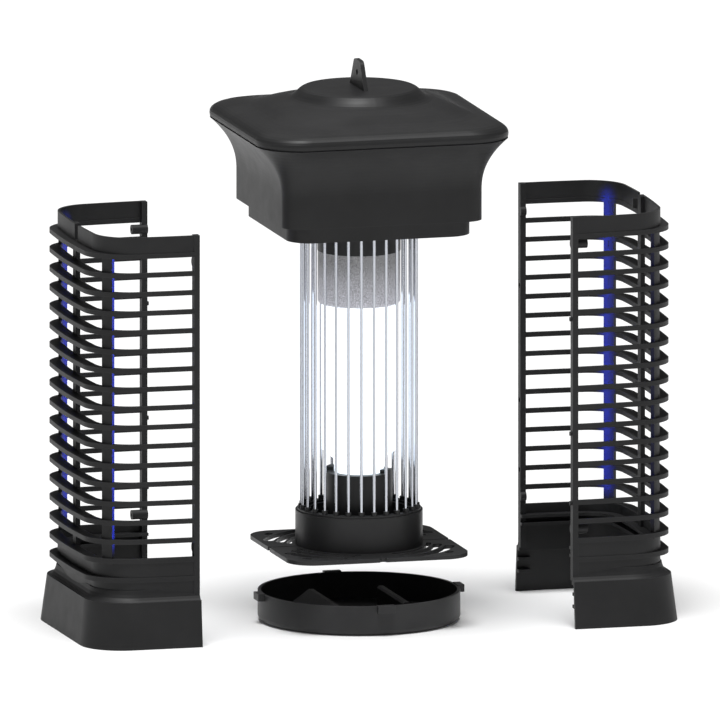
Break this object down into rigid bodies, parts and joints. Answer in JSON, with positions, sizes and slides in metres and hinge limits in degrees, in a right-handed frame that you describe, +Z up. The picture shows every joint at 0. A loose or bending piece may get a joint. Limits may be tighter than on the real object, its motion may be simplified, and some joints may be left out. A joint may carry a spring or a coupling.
{
  "type": "electric bug zapper",
  "caption": "Hanging electric insect killer with a flared square cap, round lit grid, slatted guard drawn apart in two halves, openwork base plate and round drip tray.",
  "frame": {"origin": "on the floor, under the axis of the lamp and the grid", "axes": "+Z up along the lamp; +X along the line on which the two guard halves are drawn apart, with the right half on +X; +Y to the back"},
  "size_m": [0.3852, 0.1626, 0.3547],
  "materials": {
    "guard_plastic": "satin, fine moulded grain",
    "cap_plastic": "satin, fine moulded grain",
    "base_plastic": "satin",
    "tray_plastic": "satin",
    "rod_steel": "drawn steel wire",
    "contact_brass": "plain",
    "screw_steel": "zinc plated",
    "grommet_rubber": "matte",
    "lamp_frost": "frosted, fine grain",
    "lamp_glow": "lit lamp tube",
    "board_green": "solder mask",
    "transformer_core": "taped winding",
    "capacitor_film": "dipped film",
    "resistor_body": "plain",
    "lead_wire": "insulated wire"
  },
  "bodies": {
    "core": {"cap_body": "cap_plastic", "cap_roof": "cap_plastic", "cap_base": "cap_plastic", "cord_grommet": "grommet_rubber", "cap_screws": "screw_steel", "base_screws": "screw_steel", "live_rods": "rod_steel", "neutral_rods": "rod_steel", "live_contact_ring": "contact_brass", "neutral_contact_ring": "contact_brass", "rod_insulator": "base_plastic", "rod_collar": "base_plastic", "sleeve_retainer": "base_plastic", "base_plate": "base_plastic", "lamp_socket": "base_plastic", "lamp_screw_base": "contact_brass", "lamp_collar": "lamp_frost", "lamp_tube": "lamp_glow", "lamp_holder": "base_plastic", "lamp_clips": "base_plastic", "circuit_board": "board_green", "transformer": "transformer_core", "capacitors": "capacitor_film", "resistors": "resistor_body", "leads": "lead_wire"},
    "right_half": {"right_guard": "guard_plastic"},
    "left_half": {"left_guard": "guard_plastic"},
    "tray": {"collection_tray": "tray_plastic"}
  },
  "joints": [
    {"name": "right_guard_close", "type": "slide", "parent": "core", "child": "right_half", "axis": [-1, 0, 0], "range_m": [0, 0.12045]},
    {"name": "left_guard_close", "type": "slide", "parent": "core", "child": "left_half", "axis": [1, 0, 0], "range_m": [0, 0.12045]},
    {"name": "tray_twist", "type": "hinge", "parent": "core", "child": "tray", "pos_m": [0, 0, 0.0095], "axis": [0, 0, 1], "range_deg": [0, 25]}
  ]
}
